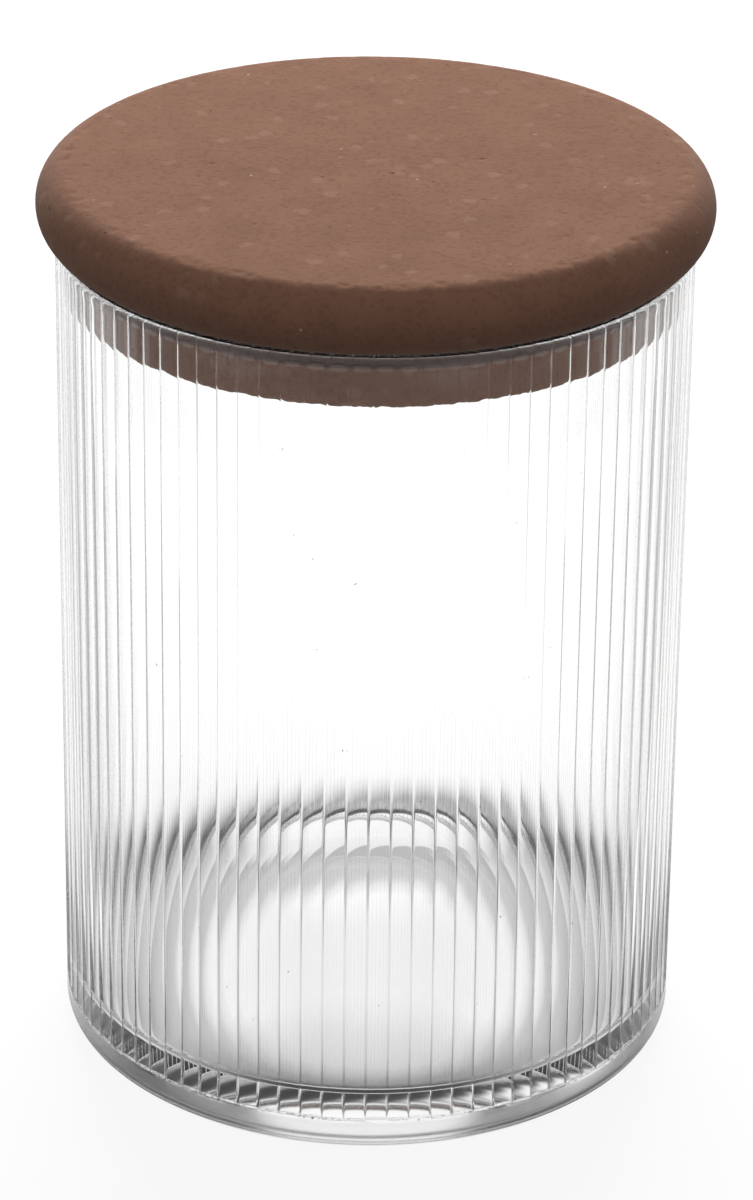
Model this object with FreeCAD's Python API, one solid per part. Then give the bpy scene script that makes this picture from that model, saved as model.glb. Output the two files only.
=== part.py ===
import FreeCAD, Part
import math
import os

# Fluted glass storage jar with a push-in cork lid, in millimetres.
# +Z is up and the origin is the middle of the surface that the jar stands on.

# Glass jar: a straight tube with a thick floor
glass_diameter = 100.0
glass_height = 137.5
wall_thickness = 3.0
floor_thickness = 9.0
inner_corner_radius = 2.6
heel_radius = 3.5
rim_rounding = 0.8

# Shallow dome under the floor, inside the flat ring that the jar stands on
standing_ring_width = 4.8
recess_depth = 1.0

# Upright flutes in the outside of the wall, between narrow ridges, above a plain band over the heel
flute_count = 90
flute_depth = 0.18
ridge_width = 0.15
plain_band_height = 2.5

# Cork cap: a disc with a round edge, whose flat underside lies on the inner part of the rim
cap_thickness = 11.0
cap_overhang = 2.9
cap_seat_width = 0.5

# Cork plug: a disc glued under the cap, with a relief groove against it
plug_depth = 9.2
plug_clearance = 0.4
plug_edge_chamfer = 0.6
groove_height = 2.65
groove_depth = 2.0

# Sizes that follow from the ones above
glass_radius = glass_diameter / 2
bore_radius = glass_radius - wall_thickness
heel_inner = glass_radius - heel_radius
recess_radius = heel_inner - standing_ring_width
flute_foot = heel_radius + plain_band_height
rim_inner = bore_radius + rim_rounding
cap_radius = glass_radius + cap_overhang
cap_flat_radius = rim_inner + cap_seat_width
plug_radius = bore_radius - plug_clearance


def at(radius, height):
    """A point of a turned piece's half section."""
    return FreeCAD.Vector(radius, 0, height)


def line(start, end):
    return Part.LineSegment(start, end).toShape()


def arc(start, middle, end):
    return Part.Arc(start, middle, end).toShape()


def quarter_arc(start, end, centre):
    """A quarter circle about a centre, from start to end."""
    chord_middle = (start + end) * 0.5
    outward = (chord_middle - centre).normalize()
    radius = start.distanceToPoint(centre)
    return arc(start, centre + outward * radius, end)


def turned(edges):
    """The solid that a closed half section sweeps out about the Z axis."""
    section = Part.Face(Part.Wire(edges))
    return section.revolve(FreeCAD.Vector(0, 0, 0), FreeCAD.Vector(0, 0, 1), 360)


def recess_arc():
    """The domed underside, from the middle of the jar out to the standing ring."""
    dome_radius = (recess_radius ** 2 + recess_depth ** 2) / (2 * recess_depth)
    half_angle = math.asin(recess_radius / dome_radius) / 2
    dome_centre = recess_depth - dome_radius
    middle = at(dome_radius * math.sin(half_angle), dome_centre + dome_radius * math.cos(half_angle))
    return arc(at(0, recess_depth), middle, at(recess_radius, 0))


def plain_jar():
    """The jar before its flutes: domed underside, heel, wall, rim, bore and floor."""
    rim_start = glass_height - rim_rounding
    rim_outer = glass_radius - rim_rounding
    corner_top = floor_thickness + inner_corner_radius
    corner_inner = bore_radius - inner_corner_radius
    return turned([
        recess_arc(),
        line(at(recess_radius, 0), at(heel_inner, 0)),
        quarter_arc(at(heel_inner, 0), at(glass_radius, heel_radius), at(heel_inner, heel_radius)),
        line(at(glass_radius, heel_radius), at(glass_radius, rim_start)),
        quarter_arc(at(glass_radius, rim_start), at(rim_outer, glass_height), at(rim_outer, rim_start)),
        line(at(rim_outer, glass_height), at(rim_inner, glass_height)),
        quarter_arc(at(rim_inner, glass_height), at(bore_radius, rim_start), at(rim_inner, rim_start)),
        line(at(bore_radius, rim_start), at(bore_radius, corner_top)),
        quarter_arc(at(bore_radius, corner_top), at(corner_inner, floor_thickness),
                    at(corner_inner, corner_top)),
        line(at(corner_inner, floor_thickness), at(0, floor_thickness)),
        line(at(0, floor_thickness), at(0, recess_depth)),
    ])


def flute_cutters():
    """Round bars standing round the jar, each of which hollows one flute between two ridges."""
    pitch_angle = 2 * math.pi / flute_count
    half_angle = (pitch_angle - ridge_width / glass_radius) / 2
    valley_radius = glass_radius - flute_depth
    inset = glass_radius * math.cos(half_angle) - valley_radius
    half_width = glass_radius * math.sin(half_angle)
    bar_radius = (inset ** 2 + half_width ** 2) / (2 * inset)
    bar_distance = valley_radius + bar_radius
    bar_length = glass_height - flute_foot + rim_rounding
    bars = []
    for index in range(flute_count):
        angle = index * pitch_angle
        foot = FreeCAD.Vector(bar_distance * math.cos(angle), bar_distance * math.sin(angle), flute_foot)
        bars.append(Part.makeCylinder(bar_radius, bar_length, foot))
    return bars


def glass_jar():
    return plain_jar().cut(flute_cutters())


def cork_cap():
    """A flat disc on the rim, with one arc from its underside over the edge to its top."""
    top = glass_height + cap_thickness
    widest = at(cap_radius, glass_height + cap_thickness / 2)
    return turned([
        line(at(0, glass_height), at(cap_flat_radius, glass_height)),
        arc(at(cap_flat_radius, glass_height), widest, at(cap_flat_radius, top)),
        line(at(cap_flat_radius, top), at(0, top)),
        line(at(0, top), at(0, glass_height)),
    ])


def cork_plug():
    """A disc in the mouth, narrower in the groove under the cap and chamfered at its lower edge."""
    bottom = glass_height - plug_depth
    groove_radius = plug_radius - groove_depth
    groove_bottom = glass_height - groove_height
    corners = [
        at(0, glass_height),
        at(groove_radius, glass_height),
        at(groove_radius, groove_bottom),
        at(plug_radius, groove_bottom),
        at(plug_radius, bottom + plug_edge_chamfer),
        at(plug_radius - plug_edge_chamfer, bottom),
        at(0, bottom),
    ]
    return turned([line(start, end) for start, end in zip(corners, corners[1:] + corners[:1])])


pieces = {
    "glass_jar": glass_jar(),
    "cork_cap": cork_cap(),
    "cork_plug": cork_plug(),
}
os.makedirs("parts", exist_ok=True)
for name, shape in pieces.items():
    solid = shape.Solids[0]
    solid.exportStep(os.path.join("parts", name + ".step"))
    box = solid.optimalBoundingBox()
    print(name, "solids", len(shape.Solids), "valid", solid.isValid(), "faces", len(solid.Faces))
    print("  %.2f cm3, %.2f mm wide, z %.2f to %.2f" % (solid.Volume / 1000, box.XLength, box.ZMin, box.ZMax))
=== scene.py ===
import math
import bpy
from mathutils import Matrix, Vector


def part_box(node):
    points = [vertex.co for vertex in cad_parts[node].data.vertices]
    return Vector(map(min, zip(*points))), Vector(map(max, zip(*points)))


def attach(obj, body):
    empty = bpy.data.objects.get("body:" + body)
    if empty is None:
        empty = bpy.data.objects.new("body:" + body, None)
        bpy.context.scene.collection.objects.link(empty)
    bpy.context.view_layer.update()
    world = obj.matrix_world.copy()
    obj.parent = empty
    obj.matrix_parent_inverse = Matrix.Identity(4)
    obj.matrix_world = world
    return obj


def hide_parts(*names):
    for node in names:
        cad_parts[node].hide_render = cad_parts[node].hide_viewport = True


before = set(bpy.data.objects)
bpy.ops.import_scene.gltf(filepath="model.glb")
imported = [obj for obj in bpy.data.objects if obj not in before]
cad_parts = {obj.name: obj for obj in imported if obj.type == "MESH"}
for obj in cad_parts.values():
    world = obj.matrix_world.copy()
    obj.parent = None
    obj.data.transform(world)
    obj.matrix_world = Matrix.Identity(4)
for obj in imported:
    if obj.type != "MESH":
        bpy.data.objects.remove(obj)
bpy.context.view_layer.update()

from types import SimpleNamespace

import bpy
import numpy as np
from mathutils import Matrix, Vector, noise

# A fluted glass jar with a push-in cork lid, on a white table. Sizes are in metres.
mm = 0.001

# Places and sizes that the CAD part gives
glass_low, glass_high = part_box("glass_jar")
cap_low, cap_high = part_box("cork_cap")
plug_low, plug_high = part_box("cork_plug")
glass_radius = -glass_low.y
rim_height = glass_high.z
cap_radius = -cap_low.y
cap_bottom = cap_low.z
cap_top = cap_high.z
plug_radius = -plug_low.y
plug_bottom = plug_low.z
plug_top = plug_high.z

# Glass jar, as in the CAD part, with flutes a little deeper
wall_thickness = 3.0 * mm
floor_thickness = 9.0 * mm
inner_corner_radius = 2.6 * mm
heel_radius = 3.5 * mm
rim_rounding = 0.8 * mm
standing_ring_width = 4.8 * mm
recess_depth = 1.0 * mm
flute_count = 90
flute_depth = 0.22 * mm
flute_foot = 6.0 * mm
bore_radius = glass_radius - wall_thickness
heel_inner = glass_radius - heel_radius
recess_radius = heel_inner - standing_ring_width

# Marks of the mould and of fire polishing on the glass
ridge_height = 0.1 * mm
ridge_width = 0.11 * mm
shallowest_flute = 0.88
foot_run = 0.35 * mm
foot_wander = 0.18 * mm
polished_height = 3.0 * mm
polished_share = 0.55
seam_height = 0.02 * mm
seam_width = 0.2 * mm
seam_gaps = 0.6
wall_waver = 0.012 * mm
waver_pitch = 9.0 * mm
waver_seed = 3
rim_gap = 0.03 * mm

# Where the rings of the glass mesh lie
columns_per_flute = 28
foot_below = 0.45 * mm
foot_above = 1.0 * mm
foot_step = 0.1 * mm
wall_start = 1.1 * mm
lip_drop = 0.5 * mm
corner_run = 2.0 * mm
corner_step = 0.2 * mm

# Glass: its tints, its dull heel, faint smears, a few specks and the specks along the mould's joint
glass_tints = [(0.3, (0.99, 0.995, 0.992)), (0.7, (0.999, 1.0, 0.999))]
glass_index = 1.5
skin_depth = 0.5 * mm
heel_roughness = 0.24
heel_fade = (0.7 * mm, 0.1 * mm)
smear_share = (0.55, 0.8)
smear_roughness = 0.02
speck_spacing = 5 * mm
speck_rarity = 0.5
speck_reach = 0.035
speck_tone = (0.05, 0.05, 0.045)
seam_reach = (0.08 * mm, 0.3 * mm)
seam_tone = (0.1, 0.08, 0.07)

# Cork lid, as in the CAD part, and the grain of pressed cork
cap_flat_radius = 48.3 * mm
groove_height = 2.65 * mm
groove_depth = 2.0 * mm
plug_edge_chamfer = 0.6 * mm
cork_columns = 640
cork_step = 0.36 * mm
cork_middle = 0.5 * mm
corner_gap = 0.06 * mm
grain_size = 1.1 * mm
grain_relief = 0.02 * mm
pit_depth = 0.1 * mm
pit_rarity = (0.62, 0.75)
edge_wear = 0.25 * mm
edge_wear_reach = 0.8 * mm
plug_wear = 0.45 * mm
plug_wear_reach = 1.0 * mm
chip_sizes = (2.3 * mm, 0.9 * mm)

# Cork's colours, and its flecks: size, rarity, reach within a cell, tone and strength
cork_tones = [(0.3, (0.23, 0.108, 0.064)), (0.7, (0.275, 0.133, 0.081))]
cork_flecks = [
    (0.55 * mm, 0.0, 0.9, (0.30, 0.150, 0.094), 0.3),
    (0.75 * mm, 0.72, 0.9, (0.19, 0.084, 0.048), 0.35),
    (2.1 * mm, 0.95, 0.75, (0.36, 0.21, 0.15), 0.4),
    (1.3 * mm, 0.985, 0.3, (0.07, 0.034, 0.024), 0.85),
    (1.7 * mm, 0.985, 0.2, (0.65, 0.52, 0.42), 0.8),
]

# Table, how far shadows darken it, and a painted contact shadow: a dark ring drawn on the table where the
# jar stands
table_half = 3.0
table_drop = 0.02 * mm
table_shade = 0.1
contact_shadow_line = (47.2 * mm, 47.9 * mm)
contact_shadow_level = 0.1
unlit_reach = (80 * mm, 120 * mm)

# Painted shade on the table, seen only through the glass: how bright it looks by the distance from the
# jar's axis in mm
shade_reach = 100
front_shade = [(0, 0.86), (8, 0.87), (15, 0.80), (20, 0.72), (26.5, 0.64), (31, 0.56), (33.5, 0.40),
               (36, 0.18), (41.4, 0.03), (51, 0.02), (53, 0.3), (58, 0.8), (64, 1.0)]
side_shade = [(0, 0.86), (15, 0.86), (25, 0.9), (29, 0.75), (32, 0.5), (41.4, 0.42), (41.6, 0.8),
              (46, 0.55), (50, 0.4), (51.5, 0.2), (53, 0.0), (66, 0.0), (70, 0.4), (74, 0.8), (80, 1.0)]
back_shade = [(0, 0.86), (15, 0.87), (25.5, 1.0), (29, 0.8), (31, 0.58), (33, 0.5), (41.4, 0.47),
              (41.6, 0.92), (50, 1.0), (53.3, 1.0), (54.1, 0.0), (56.8, 0.0), (58, 0.33), (70, 0.25),
              (72.5, 0.55), (75, 0.8), (79, 1.0)]
side_turn = (-0.95, -0.6)
back_turn = (0.84, 0.97)

# The slanted edge of the shadow behind the jar, and streaks of light over it
edge_slant = 0.15
edge_reach = 15 * mm
streak_count = 70
streak_length = 14 * mm
streak_level = 0.35
streak_share = (0.42, 0.58)
streak_start = (56 * mm, 60 * mm)

# Painted shades further off on the table, seen through the glass: a round band in front, and a lane that
# runs back at each side
front_band = 320 * mm
front_half = (18 * mm, 24 * mm)
front_level = 0.5
left_lane = -148 * mm
right_lane = 162 * mm
lane_half = (58 * mm, 64 * mm)
lane_lean = 0.3
left_level = 0.2
right_level = 0.25

# How bright the table looks in reflections
mirrored_level = 0.05
mirrored_foot = (49 * mm, 52 * mm)
mirrored_front = (300 * mm, 308 * mm)
front_end = 60 * mm

# Room: white behind the jar, dimmer in front, with a dark flag beside the jar on each side
room_front = 0.7
room_turn = (-0.2, 0.45)
ambient_level = 0.42
flag_start = (0.19, 0.23)
flag_end = (0.8, 0.95)
flag_bottom = (0.0, 0.1)
flag_top = (0.6, 0.7)
flag_level = 0.0

# Lamp behind the jar
lamp_place = (0, 1.0, 0.55)
lamp_target = (0, 0, 0.14)
lamp_size = (0.8, 0.3)
lamp_power = 22

# Camera, fitted to the outlines in the photograph, whose size is in pixels
photo_size = (753, 1200)
camera_elevation = math.radians(26.116)
camera_distance = 0.8304
camera_roll = math.radians(0.677)
target_height = 0.075
focal_pixels = 5149.46
centre_offset = (5.15, -9.29)


def smooth_step(value, start, end):
    """0 before start, 1 after end, and a smooth rise between them."""
    share = np.clip((value - start) / (end - start), 0, 1)
    return share * share * (3 - 2 * share)


def arc_rows(centre, radius, start, end, steps):
    """Points (radius, height) of an arc in a half section, between two angles in degrees."""
    angles = np.radians(np.linspace(start, end, steps + 1))
    return [(centre[0] + radius * math.cos(a), centre[1] + radius * math.sin(a)) for a in angles]


def line_rows(start, end, steps):
    """Points (radius, height) along a straight line, without its last one."""
    shares = np.arange(steps) / steps
    return [(start[0] + (end[0] - start[0]) * s, start[1] + (end[1] - start[1]) * s) for s in shares]


def ring_mesh(name, rings):
    """An object whose closed skin runs through rings of points, with a middle point at each end."""
    rows, columns, _ = rings.shape
    middles = np.stack([rings[0].mean(0), rings[-1].mean(0)])
    points = np.concatenate([rings.reshape(-1, 3), middles])
    here = np.arange(columns)
    after = (here + 1) % columns
    quads = []
    for row in range(rows - 1):
        low, high = row * columns, (row + 1) * columns
        quads.append(np.stack([low + here, low + after, high + after, high + here], 1))
    first, last = rows * columns, rows * columns + 1
    top = (rows - 1) * columns
    faces = np.concatenate(quads).tolist()
    faces += np.stack([np.full(columns, first), after, here], 1).tolist()
    faces += np.stack([np.full(columns, last), top + here, top + after], 1).tolist()
    mesh = bpy.data.meshes.new(name)
    mesh.from_pydata(points.tolist(), [], faces)
    mesh.polygons.foreach_set("use_smooth", np.ones(len(mesh.polygons), bool))
    mesh.update()
    piece = bpy.data.objects.new(name, mesh)
    bpy.context.scene.collection.objects.link(piece)
    return piece


def dress(piece, node, body, material):
    """The piece stands for a CAD node, moves with its body and wears a material."""
    piece.data.materials.append(material)
    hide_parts(node)
    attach(piece, body)


# Glass jar


def flute_columns():
    """Angles round the jar, close together at the ridges, and the depth of the flutes at each."""
    across = np.sin((np.arange(columns_per_flute) / columns_per_flute - 0.5) * math.pi)
    from_ridge = (1 - np.abs(across)) * math.pi * glass_radius / flute_count
    ridge = ridge_height * np.exp(-(from_ridge / ridge_width) ** 2)
    depth = (flute_depth - ridge_height) * (1 - across ** 2) + ridge_height - ridge
    turns = (np.arange(flute_count)[:, None] + (across + 1) / 2).ravel() / flute_count
    return turns * 2 * math.pi - math.pi / 2, np.tile(depth, flute_count)


def waver(angles, height):
    """A slow, even wandering between -1 and 1 over the bore, the same in each run."""
    waves = np.zeros_like(angles)
    for wave in range(1, 6):
        turn = np.sin(angles * (wave * 3 + waver_seed % 4) + waver_seed * wave * 1.7)
        rise = height / waver_pitch * (0.4 + 0.23 * wave)
        waves += turn * math.sin(rise + waver_seed + wave * 2.1)
    return waves / 3


def outer_radius(angles, hollow, radius, height):
    """The outside of the wall, where flutes start at ragged feet and soften towards the rim."""
    random = np.random.default_rng(4)
    feet = np.repeat(random.uniform(-1, 1, flute_count), columns_per_flute) * foot_wander
    depths = np.repeat(random.uniform(shallowest_flute, 1.0, flute_count), columns_per_flute)
    spots = random.uniform(0, 1, flute_count * columns_per_flute)
    start = smooth_step(height, flute_foot + feet, flute_foot + feet + foot_run)
    polish = 1 - polished_share * smooth_step(height, rim_height - polished_height, rim_height)
    seam = seam_height * np.exp(-((height - flute_foot) / seam_width) ** 2) * (spots > seam_gaps)
    return radius - hollow * depths * start * polish - seam


def ring(angles, radius, height):
    """Points round the axis, at one radius or at one for each angle."""
    across = radius * np.cos(angles)
    back = radius * np.sin(angles)
    return np.stack([across, back, np.broadcast_to(height, angles.shape)], 1)


def corner_rows():
    """Points (radius, height) down the foot of the bore and round the inner corner to the floor."""
    corner_top = floor_thickness + inner_corner_radius
    corner_inner = bore_radius - inner_corner_radius
    rows = []
    for along in np.arange(-corner_run, inner_corner_radius * math.pi / 2, corner_step):
        bend = max(0.0, along) / inner_corner_radius
        height = corner_top - min(0.0, along) - inner_corner_radius * math.sin(bend)
        rows.append((corner_inner + inner_corner_radius * math.cos(bend), height))
    return rows


def glass_rings():
    angles, hollow = flute_columns()
    polish_start = rim_height - polished_height
    rim_start = rim_height - rim_rounding
    corner_top = floor_thickness + inner_corner_radius
    corner_inner = bore_radius - inner_corner_radius
    recess = [(recess_radius * s, recess_depth * (1 - s * s)) for s in np.linspace(0.02, 1, 10)]
    heel = arc_rows((heel_inner, heel_radius), heel_radius, -90, 0, 12)
    foot_heights = np.arange(flute_foot - foot_below, flute_foot + foot_above, foot_step)
    foot = [(glass_radius, height) for height in foot_heights]
    wall = line_rows((glass_radius, flute_foot + wall_start), (glass_radius, polish_start), 10)
    wall += line_rows((glass_radius, polish_start), (glass_radius, rim_start), 8)
    rim = arc_rows((glass_radius - rim_rounding, rim_start), rim_rounding - rim_gap, 0, 90, 8)
    lip = arc_rows((bore_radius + rim_rounding, rim_start), rim_rounding - rim_gap, 90, 180, 8)
    bore = line_rows((bore_radius, rim_start - lip_drop), (bore_radius, corner_top + corner_run), 12)
    floor = line_rows((corner_inner, floor_thickness), (0, floor_thickness), 8)
    rings = [ring(angles, radius, height) for radius, height in recess]
    for radius, height in heel + foot + wall + rim:
        if height > heel_radius:
            radius = outer_radius(angles, hollow, radius, height)
        rings.append(ring(angles, radius, height))
    for radius, height in lip + bore:
        if height < rim_start:
            radius = radius + wall_waver * waver(angles, height)
        rings.append(ring(angles, radius, height))
    rings += [ring(angles, radius, height) for radius, height in corner_rows() + floor]
    return np.stack(rings)


def outer_skin(net, spot):
    """1 on the outside of the wall and heel, 0 further in."""
    return net.map(spot.distance, (heel_inner, heel_inner + skin_depth), (0.0, 1.0))


def dull_heel(net):
    """How rough the plain band over the heel is, which the mould leaves less bright than the flutes."""
    spot = net.round_place()
    start, end = heel_fade
    low = net.map(spot.z, (flute_foot - start, flute_foot - end), (heel_roughness, 0.0))
    return net.times(low, outer_skin(net, spot))


def seam_specks(net, place):
    """Where the line of the mould's joint, under the flutes, is broken into dark specks."""
    spot = net.round_place()
    away = net.math("ABSOLUTE", net.math("SUBTRACT", spot.z, flute_foot))
    band = net.map(away, seam_reach, (1.0, 0.0))
    band = net.times(band, outer_skin(net, spot))
    fine = net.map(net.noise(place, scale=2200, detail=2), (0.56, 0.62), (0.0, 1.0))
    groups = net.map(net.noise(place, scale=260, detail=2), (0.42, 0.55), (0.0, 1.0))
    return net.times(band, net.times(fine, groups))


def glass_material():
    material, net, shader = new_material("clear_glass")
    place = net.coordinates("Object")
    tint = net.ramp(net.noise(place, scale=60, detail=3), glass_tints)
    tint = fleck(net, place, tint, speck_spacing, speck_rarity, speck_reach, speck_tone, 1.0)
    tint = net.mix(seam_specks(net, place), tint, seam_tone)
    smears = net.map(net.noise(place, scale=140, detail=4), smear_share, (0.0, smear_roughness))
    net.feed(shader.inputs["Base Color"], tint)
    net.feed(shader.inputs["Roughness"], net.math("MAXIMUM", smears, dull_heel(net)))
    shader.inputs["IOR"].default_value = glass_index
    shader.inputs["Transmission Weight"].default_value = 1.0
    return material


# Cork lid


def grain(point):
    """How far a spot of pressed cork lies under the skin: rounded grains, their joints and a few pits."""
    spot = Vector(point) / grain_size
    near = noise.voronoi(spot)[0]
    joint = 1 - min(1.0, (near[1] - near[0]) / 0.35)
    depth = grain_relief * (joint + 0.5 * near[0])
    rarity = noise.noise(spot * 0.63 + Vector((3.1, 7.7, 1.9)))
    return depth + pit_depth * float(smooth_step(rarity, *pit_rarity))


def chips(point):
    """How much of a worn edge has crumbled away at a spot, from 0 up."""
    large, small = (noise.noise(Vector(point) / size) for size in chip_sizes)
    return max(0.0, large + 0.6 * small + 0.25)


def cork_rings(section, wear):
    """Rings through a half section, roughened into the piece by its grain and by wear at its edges."""
    section = np.array(section)
    along = np.gradient(section, axis=0)
    inward = np.stack([-along[:, 1], along[:, 0]], 1)
    inward /= np.linalg.norm(inward, axis=1)[:, None]
    angles = np.arange(cork_columns) / cork_columns * 2 * math.pi
    rings = []
    for (radius, height), (into, up), worn in zip(section, inward, wear(section)):
        points = []
        for angle in angles:
            point = (radius * math.cos(angle), radius * math.sin(angle), height)
            depth = grain(point)
            if worn > 0:
                depth += worn * chips(point)
            reach = radius + into * depth
            points.append((reach * math.cos(angle), reach * math.sin(angle), height + up * depth))
        rings.append(points)
    return np.array(rings)


def even_rows(corners, steps):
    """Points along straight runs between corners, about a step apart, and close together at corners."""
    rows = []
    for start, end, step in zip(corners[:-1], corners[1:], steps):
        run = math.dist(start, end)
        shares = np.linspace(0, 1, max(2, round(run / step)) + 1)
        shares[0] = min(0.5, corner_gap / run)
        shares[-1] = 1 - shares[0]
        rows += [(start[0] + (end[0] - start[0]) * s, start[1] + (end[1] - start[1]) * s) for s in shares]
    return rows


def edge_wear_at(corner, depth, reach):
    """How deep a section is worn at each of its points: most at a corner, and less further from it."""
    def wear(section):
        distance = np.hypot(section[:, 0] - corner[0], section[:, 1] - corner[1])
        return depth * np.exp(-(distance / reach) ** 2)

    return wear


def cap_rings():
    middle = (cap_bottom + cap_top) / 2
    rise = (cap_top - cap_bottom) / 2
    reach = cap_radius - cap_flat_radius
    edge_radius = (reach ** 2 + rise ** 2) / (2 * reach)
    edge_angle = math.degrees(math.asin(rise / edge_radius))
    edge = arc_rows((cap_radius - edge_radius, middle), edge_radius, -edge_angle, edge_angle, 30)
    under = even_rows([(cork_middle, cap_bottom), (cap_flat_radius, cap_bottom)], [5 * cork_step])
    top = even_rows([(cap_flat_radius, cap_top), (cork_middle, cap_top)], [cork_step])
    wear = edge_wear_at((cap_flat_radius, cap_top), edge_wear, edge_wear_reach)
    return cork_rings(under + edge[1:-1] + top, wear)


def plug_rings():
    groove_radius = plug_radius - groove_depth
    groove_bottom = plug_top - groove_height
    corners = [
        (cork_middle, plug_bottom),
        (plug_radius - plug_edge_chamfer, plug_bottom),
        (plug_radius, plug_bottom + plug_edge_chamfer),
        (plug_radius, groove_bottom),
        (groove_radius, groove_bottom),
        (groove_radius, plug_top),
        (cork_middle, plug_top),
    ]
    steps = [5 * cork_step, cork_step, cork_step, 2 * cork_step, 2 * cork_step, 5 * cork_step]
    wear = edge_wear_at((plug_radius, plug_bottom), plug_wear, plug_wear_reach)
    return cork_rings(even_rows(corners, steps), wear)


def cork_material():
    material, net, shader = new_material("cork")
    place = net.coordinates("Object")
    colour = net.ramp(net.noise(place, scale=110, detail=6), cork_tones)
    for size, rarity, reach, tone, strength in cork_flecks:
        colour = fleck(net, place, colour, size, rarity, reach, tone, strength)
    fine = net.noise(place, scale=2600, detail=3)
    net.feed(shader.inputs["Base Color"], colour)
    net.feed(shader.inputs["Roughness"], net.map(fine, (0.3, 0.7), (0.78, 0.98)))
    shader.inputs["Specular IOR Level"].default_value = 0.4
    shader.inputs["Sheen Weight"].default_value = 0.08
    net.feed(shader.inputs["Normal"], net.bump(fine, strength=0.35, distance=0.12 * mm))
    return material


# Shader helpers


class Net:
    """The nodes of a material or of the room. Each method adds one kind of node and gives its result."""

    def __init__(self, tree):
        self.nodes = tree.nodes
        self.links = tree.links

    def feed(self, socket, value):
        """A socket takes another socket's result, or is set to a plain value."""
        if isinstance(value, bpy.types.NodeSocket):
            self.links.new(value, socket)
        else:
            socket.default_value = value

    def coordinates(self, kind):
        return self.nodes.new("ShaderNodeTexCoord").outputs[kind]

    def noise(self, place, scale, detail, output="Fac"):
        node = self.nodes.new("ShaderNodeTexNoise")
        node.inputs["Scale"].default_value = scale
        node.inputs["Detail"].default_value = detail
        self.feed(node.inputs["Vector"], place)
        return node.outputs[output]

    def cells(self, place, scale):
        """The colour of each cell, and the distance from its middle."""
        node = self.nodes.new("ShaderNodeTexVoronoi")
        node.inputs["Scale"].default_value = scale
        self.feed(node.inputs["Vector"], place)
        return node.outputs["Color"], node.outputs["Distance"]

    def ramp(self, value, stops):
        node = self.nodes.new("ShaderNodeValToRGB")
        ramp = node.color_ramp
        while len(ramp.elements) < len(stops):
            ramp.elements.new(0.5)
        for element, (position, colour) in zip(ramp.elements, stops):
            element.position = position
            element.color = (*colour, 1)
        self.feed(node.inputs["Fac"], value)
        return node.outputs["Color"]

    def map(self, value, source, target):
        node = self.nodes.new("ShaderNodeMapRange")
        node.inputs["From Min"].default_value, node.inputs["From Max"].default_value = source
        node.inputs["To Min"].default_value, node.inputs["To Max"].default_value = target
        self.feed(node.inputs["Value"], value)
        return node.outputs["Result"]

    def math(self, operation, first, second=0.0):
        node = self.nodes.new("ShaderNodeMath")
        node.operation = operation
        self.feed(node.inputs[0], first)
        self.feed(node.inputs[1], second)
        return node.outputs["Value"]

    def times(self, first, second):
        return self.math("MULTIPLY", first, second)

    def mix(self, factor, first, second):
        """Two colours mixed. The second may be a plain colour."""
        node = self.nodes.new("ShaderNodeMix")
        node.data_type = "RGBA"
        self.feed(node.inputs["Factor"], factor)
        self.feed(node.inputs["A"], first)
        self.feed(node.inputs["B"], (*second, 1) if isinstance(second, tuple) else second)
        return node.outputs["Result"]

    def vector(self, operation, *values, output="Vector"):
        node = self.nodes.new("ShaderNodeVectorMath")
        node.operation = operation
        for socket, value in zip(node.inputs, values):
            self.feed(socket, value)
        return node.outputs[output]

    def combine(self, **parts):
        node = self.nodes.new("ShaderNodeCombineXYZ")
        for axis, value in parts.items():
            self.feed(node.inputs[axis], value)
        return node.outputs["Vector"]

    def separate(self, vector):
        node = self.nodes.new("ShaderNodeSeparateXYZ")
        self.feed(node.inputs["Vector"], vector)
        return node.outputs

    def red(self, colour):
        node = self.nodes.new("ShaderNodeSeparateColor")
        self.feed(node.inputs["Color"], colour)
        return node.outputs["Red"]

    def bump(self, height, strength, distance):
        node = self.nodes.new("ShaderNodeBump")
        node.inputs["Strength"].default_value = strength
        node.inputs["Distance"].default_value = distance
        self.feed(node.inputs["Height"], height)
        return node.outputs["Normal"]

    def ray(self, kind):
        return self.nodes.new("ShaderNodeLightPath").outputs[kind]

    def round_place(self):
        """A spot's x, y and z, its flat vector from the jar's axis and the length of that."""
        x, y, z = self.separate(self.coordinates("Object"))
        flat = self.combine(X=x, Y=y)
        distance = self.vector("LENGTH", flat, output="Value")
        return SimpleNamespace(x=x, y=y, z=z, flat=flat, distance=distance)


def new_material(name):
    material = bpy.data.materials.new(name)
    material.use_nodes = True
    tree = material.node_tree
    return material, Net(tree), tree.nodes["Principled BSDF"]


def fleck(net, place, colour, size, rarity, reach, tone, strength):
    """Flecks of another tone: ragged cells of a size, shown above a rarity and out to a reach."""
    warp = net.noise(place, scale=1.7 / size, detail=2, output="Color")
    bent = net.vector("MULTIPLY_ADD", warp, (0.6 * size,) * 3, place)
    cell, from_middle = net.cells(bent, scale=1 / size)
    chosen = net.map(net.red(cell), (rarity, min(1.0, rarity + 0.02)), (0.0, strength))
    inside = net.map(from_middle, (0.6 * reach, reach), (1.0, 0.0))
    return net.mix(net.times(chosen, inside), colour, tone)


# Table, light and camera


def by_ray(net, seen, through, mirrored, lit):
    """A strength by the way that a ray came: from the camera, through glass, off gloss or off dull."""
    glass = net.ray("Is Transmission Ray")
    gloss = net.math("GREATER_THAN", net.ray("Is Glossy Ray"), glass)
    total = net.times(net.ray("Is Camera Ray"), seen)
    for kind, level in [(glass, through), (gloss, mirrored), (net.ray("Is Diffuse Ray"), lit)]:
        total = net.math("ADD", total, net.times(kind, level))
    return total


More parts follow.
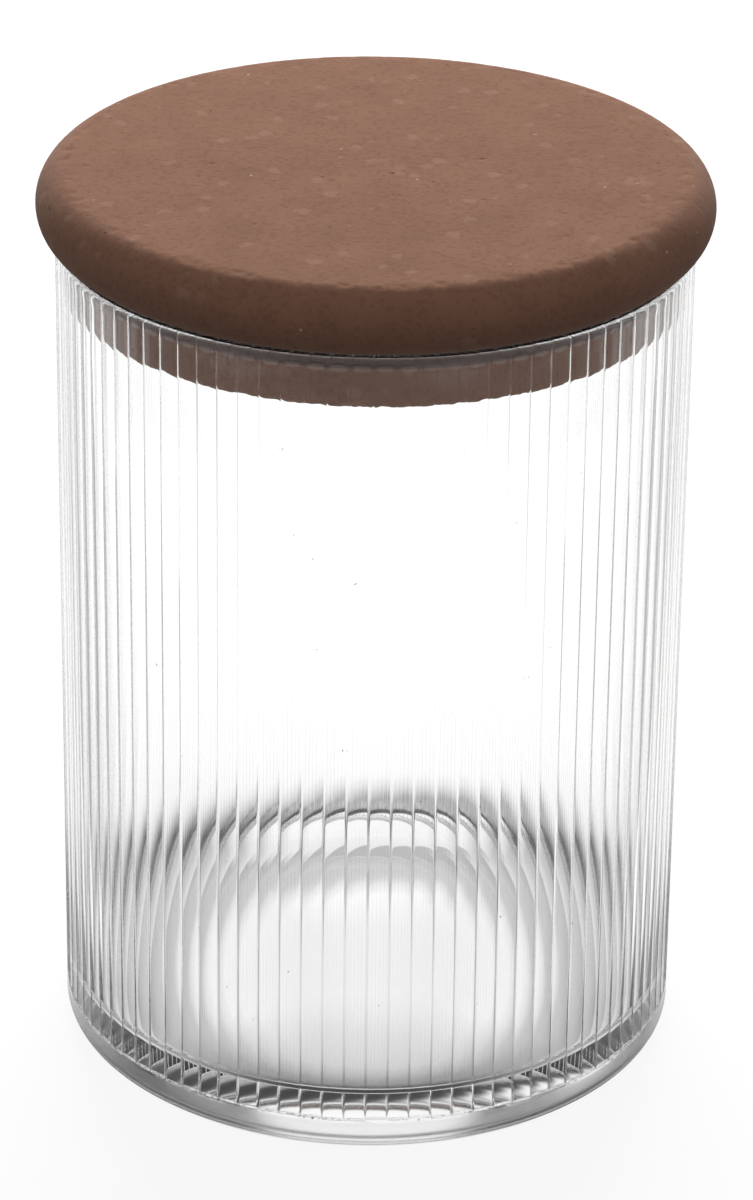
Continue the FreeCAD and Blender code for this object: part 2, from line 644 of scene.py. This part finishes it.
def light_streaks(net, spot):
    """Streaks of light that the flutes throw outwards over the shadow round the jar's foot."""
    turn = net.vector("NORMALIZE", spot.flat)
    outwards = net.combine(Z=net.math("DIVIDE", spot.distance, streak_length))
    spread = net.vector("MULTIPLY_ADD", turn, (streak_count,) * 3, outwards)
    strength = net.map(net.noise(spread, scale=1, detail=1), streak_share, (0.0, streak_level))
    return net.times(strength, net.map(spot.distance, streak_start, (0.0, 1.0)))


def slanted(net, spot):
    """The distance from the axis, as it would be if the shadow behind the jar were not cut at a slant."""
    shift = edge_slant * edge_reach
    return net.math("ADD", spot.distance, net.map(spot.x, (-edge_reach, edge_reach), (shift, -shift)))


def in_front(net, spot, end):
    """The distance from the axis on the near side of a line across the table, and 0 behind it."""
    return net.times(net.math("LESS_THAN", spot.y, end), spot.distance)


def painted_front_shade(net, spot):
    """Painted shade: 1 on the table, and darker in a round band in front, which the glass by the plug
    mirrors.
    """
    away = net.math("ABSOLUTE", net.math("SUBTRACT", in_front(net, spot, 0.0), front_band))
    return net.map(away, front_half, (front_level, 1.0))


def painted_lane_shade(net, spot, centre, level):
    """Painted shade: 1 on the table, and a darker level in a lane that runs back from one side of the jar.
    """
    lean = net.times(spot.y, math.copysign(lane_lean, -centre))
    away = net.math("ABSOLUTE", net.math("SUBTRACT", net.math("ADD", spot.x, lean), centre))
    lane = net.map(away, lane_half, (level, 1.0))
    return net.math("MAXIMUM", lane, net.math("LESS_THAN", spot.y, 0.0))


def foot_shade(net, distance, shade):
    """The brightness of the table at a distance from the axis, by a list of distances and tones."""
    stops = [(at / shade_reach, (tone,) * 3) for at, tone in shade]
    return net.ramp(net.math("DIVIDE", distance, shade_reach * mm), stops)


def table_through_glass(net, spot):
    """Painted shade and light on the table as seen through the jar: dim at the foot, where it touches, and
    at both sides.
    """
    towards_back = net.math("DIVIDE", spot.y, spot.distance)
    aside = net.map(towards_back, side_turn, (0.0, 1.0))
    behind = net.map(towards_back, back_turn, (0.0, 1.0))
    front = foot_shade(net, spot.distance, front_shade)
    level = net.mix(aside, front, foot_shade(net, spot.distance, side_shade))
    level = net.mix(behind, level, foot_shade(net, slanted(net, spot), back_shade))
    level = net.mix(net.times(light_streaks(net, spot), behind), level, (1.0, 1.0, 1.0))
    level = net.times(level, painted_lane_shade(net, spot, left_lane, left_level))
    level = net.times(level, painted_lane_shade(net, spot, right_lane, right_level))
    return net.times(level, painted_front_shade(net, spot))


def mirrored_table(net, spot):
    """How bright the table looks in reflections: white, but dark at the jar's foot and far in front."""
    near = net.map(spot.distance, mirrored_foot, (mirrored_level, 1.0))
    front = net.map(in_front(net, spot, front_end), mirrored_front, (1.0, mirrored_level))
    return net.times(near, front)


def add_table():
    turns = [(-1, -1), (1, -1), (1, 1), (-1, 1)]
    corners = [(table_half * x, table_half * y, -table_drop) for x, y in turns]
    mesh = bpy.data.meshes.new("table")
    mesh.from_pydata(corners, [], [(0, 1, 2, 3)])
    table = bpy.data.objects.new("table", mesh)
    bpy.context.scene.collection.objects.link(table)
    material, net, shader = new_material("white_table")
    spot = net.round_place()
    unlit = net.map(spot.distance, unlit_reach, (table_shade, 0.0))
    unlit = net.times(unlit, net.ray("Is Transmission Ray"))
    # Painted contact shadow: for the camera the table is drawn dark under the jar and in a thin ring round
    # its heel
    seen = net.map(spot.distance, contact_shadow_line, (contact_shadow_level, 1 - table_shade))
    glow = by_ray(net, seen, table_through_glass(net, spot), mirrored_table(net, spot), 0.0)
    net.feed(shader.inputs["Base Color"], net.math("SUBTRACT", table_shade, unlit))
    net.feed(shader.inputs["Emission Strength"], glow)
    shader.inputs["Emission Color"].default_value = (1, 1, 1, 1)
    shader.inputs["Roughness"].default_value = 0.9
    shader.inputs["Specular IOR Level"].default_value = 0.0
    mesh.materials.append(material)


def add_world():
    """A white room for what the camera sees, dimmer behind the camera, and a dim even light on surfaces."""
    world = bpy.data.worlds.new("room")
    bpy.context.scene.world = world
    world.use_nodes = True
    net = Net(world.node_tree)
    background = net.nodes["Background"]
    background.inputs["Color"].default_value = (1, 1, 1, 1)
    x, y, z = net.separate(net.coordinates("Generated"))
    room = net.map(y, room_turn, (room_front, 1.0))
    mirrored = net.times(room, mirrored_level)
    aside = net.math("ABSOLUTE", x)
    flag = net.map(aside, flag_start, (0.0, 1.0))
    flag = net.times(flag, net.map(aside, flag_end, (1.0, 0.0)))
    flag = net.times(flag, net.map(z, flag_top, (1.0, 0.0)))
    flag = net.times(flag, net.map(z, flag_bottom, (0.0, 1.0)))
    through = net.times(room, net.map(flag, (0.0, 1.0), (1.0, flag_level)))
    net.feed(background.inputs["Strength"], by_ray(net, 1.0, through, mirrored, ambient_level))


def add_lamp():
    lamp = bpy.data.lights.new("back_light", "AREA")
    lamp.shape = "RECTANGLE"
    lamp.size, lamp.size_y = lamp_size
    lamp.energy = lamp_power
    holder = bpy.data.objects.new("back_light", lamp)
    holder.location = lamp_place
    aim = Vector(lamp_target) - Vector(lamp_place)
    holder.rotation_euler = aim.to_track_quat("-Z", "Y").to_euler()
    holder.visible_camera = False
    holder.visible_glossy = False
    holder.visible_transmission = False
    bpy.context.scene.collection.objects.link(holder)


def add_camera():
    camera = bpy.data.cameras.new("camera")
    long_side = max(photo_size)
    camera.sensor_width = 36
    camera.lens = focal_pixels / long_side * camera.sensor_width
    camera.shift_x, camera.shift_y = (offset / long_side for offset in centre_offset)
    camera.clip_start = 0.01
    holder = bpy.data.objects.new("camera", camera)
    back = camera_distance * math.cos(camera_elevation)
    up = target_height + camera_distance * math.sin(camera_elevation)
    tilt = Matrix.Rotation(math.pi / 2 - camera_elevation, 4, "X")
    roll = Matrix.Rotation(camera_roll, 4, "Z")
    holder.matrix_world = Matrix.Translation((0, -back, up)) @ tilt @ roll
    bpy.context.scene.collection.objects.link(holder)
    bpy.context.scene.camera = holder


jar = ring_mesh("fluted_glass", glass_rings())
dress(jar, "glass_jar", "jar", glass_material())
cork = cork_material()
cap = ring_mesh("pressed_cork_cap", cap_rings())
dress(cap, "cork_cap", "lid", cork)
plug = ring_mesh("pressed_cork_plug", plug_rings())
dress(plug, "cork_plug", "lid", cork)

add_table()
add_world()
add_lamp()
add_camera()
scene = bpy.context.scene
scene.view_settings.view_transform = "Standard"
scene.cycles.max_bounces = 24
scene.cycles.glossy_bounces = 16
scene.cycles.transmission_bounces = 24
